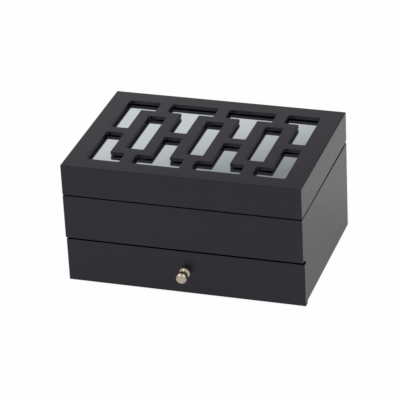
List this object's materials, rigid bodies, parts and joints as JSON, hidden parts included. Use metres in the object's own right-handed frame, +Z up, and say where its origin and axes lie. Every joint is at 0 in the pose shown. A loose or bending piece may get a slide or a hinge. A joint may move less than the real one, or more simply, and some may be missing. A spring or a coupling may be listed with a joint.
{
  "type": "jewelry box with drawer",
  "caption": "Black lacquered jewelry box: hinged lid with fretwork over a mirror, lined tray, and a sliding drawer with a ball knob.",
  "frame": {"origin": "middle of the underside of the mat that the box stands on", "axes": "+Z up, -Y towards the drawer's front, +X to the right of someone facing the front"},
  "size_m": [0.2556, 0.2036, 0.1354],
  "materials": {
    "lacquered_mdf": "satin black lacquer",
    "stained_board": "matt black stain",
    "suede_lining": "flocked suede",
    "suede_padding": "padded suede",
    "mirror_glass": "silvered glass",
    "satin_nickel": "satin nickel plate",
    "zinc_plate": "bright zinc",
    "glide_plastic": "hard nylon",
    "rubber": "foam rubber"
  },
  "bodies": {
    "case": {"case_left_side": "lacquered_mdf", "case_right_side": "lacquered_mdf", "case_back": "lacquered_mdf", "case_front_panel": "lacquered_mdf", "case_bottom": "stained_board", "tray_shelf": "stained_board", "base_mat": "rubber", "drawer_glide_left": "glide_plastic", "drawer_glide_right": "glide_plastic", "drawer_stop": "stained_board", "tray_liner_left": "suede_lining", "tray_liner_right": "suede_lining", "tray_liner_front": "suede_lining", "tray_liner_back": "suede_lining", "tray_ring_divider": "suede_lining", "tray_cross_divider": "suede_lining", "tray_short_divider": "suede_lining", "tray_pad_front_left": "suede_padding", "tray_pad_front_right": "suede_padding", "tray_pad_back_left": "suede_padding", "tray_pad_back_right": "suede_padding", "ring_base": "suede_padding", "ring_roll_1": "suede_padding", "ring_roll_2": "suede_padding", "ring_roll_3": "suede_padding", "ring_roll_4": "suede_padding", "ring_roll_5": "suede_padding", "hinge_left_case_leaf": "satin_nickel", "hinge_right_case_leaf": "satin_nickel", "hinge_pins": "satin_nickel", "hinge_case_screws": "satin_nickel"},
    "lid": {"lid_fretwork_panel": "lacquered_mdf", "lid_left_rail": "lacquered_mdf", "lid_right_rail": "lacquered_mdf", "lid_front_rail": "lacquered_mdf", "lid_back_rail": "lacquered_mdf", "lid_outer_mirror": "mirror_glass", "lid_backing_board": "stained_board", "lid_inner_mirror": "mirror_glass", "lid_lining_left": "suede_lining", "lid_lining_right": "suede_lining", "lid_lining_front": "suede_lining", "lid_lining_back": "suede_lining", "hinge_left_lid_leaf": "satin_nickel", "hinge_right_lid_leaf": "satin_nickel", "hinge_lid_screws": "satin_nickel"},
    "drawer": {"drawer_front": "lacquered_mdf", "drawer_inner_front": "stained_board", "drawer_left_side": "stained_board", "drawer_right_side": "stained_board", "drawer_back": "stained_board", "drawer_bottom": "stained_board", "drawer_divider": "suede_lining", "drawer_pad_left": "suede_padding", "drawer_pad_right": "suede_padding", "drawer_knob": "satin_nickel", "knob_screw": "zinc_plate", "drawer_front_screws": "zinc_plate"}
  },
  "joints": [
    {"name": "lid_hinge", "type": "hinge", "parent": "case", "child": "lid", "pos_m": [0, 0.0912, 0.1019], "axis": [-1, 0, 0], "range_deg": [0, 100]},
    {"name": "drawer_slide", "type": "slide", "parent": "case", "child": "drawer", "axis": [0, -1, 0], "range_m": [0, 0.12]}
  ]
}
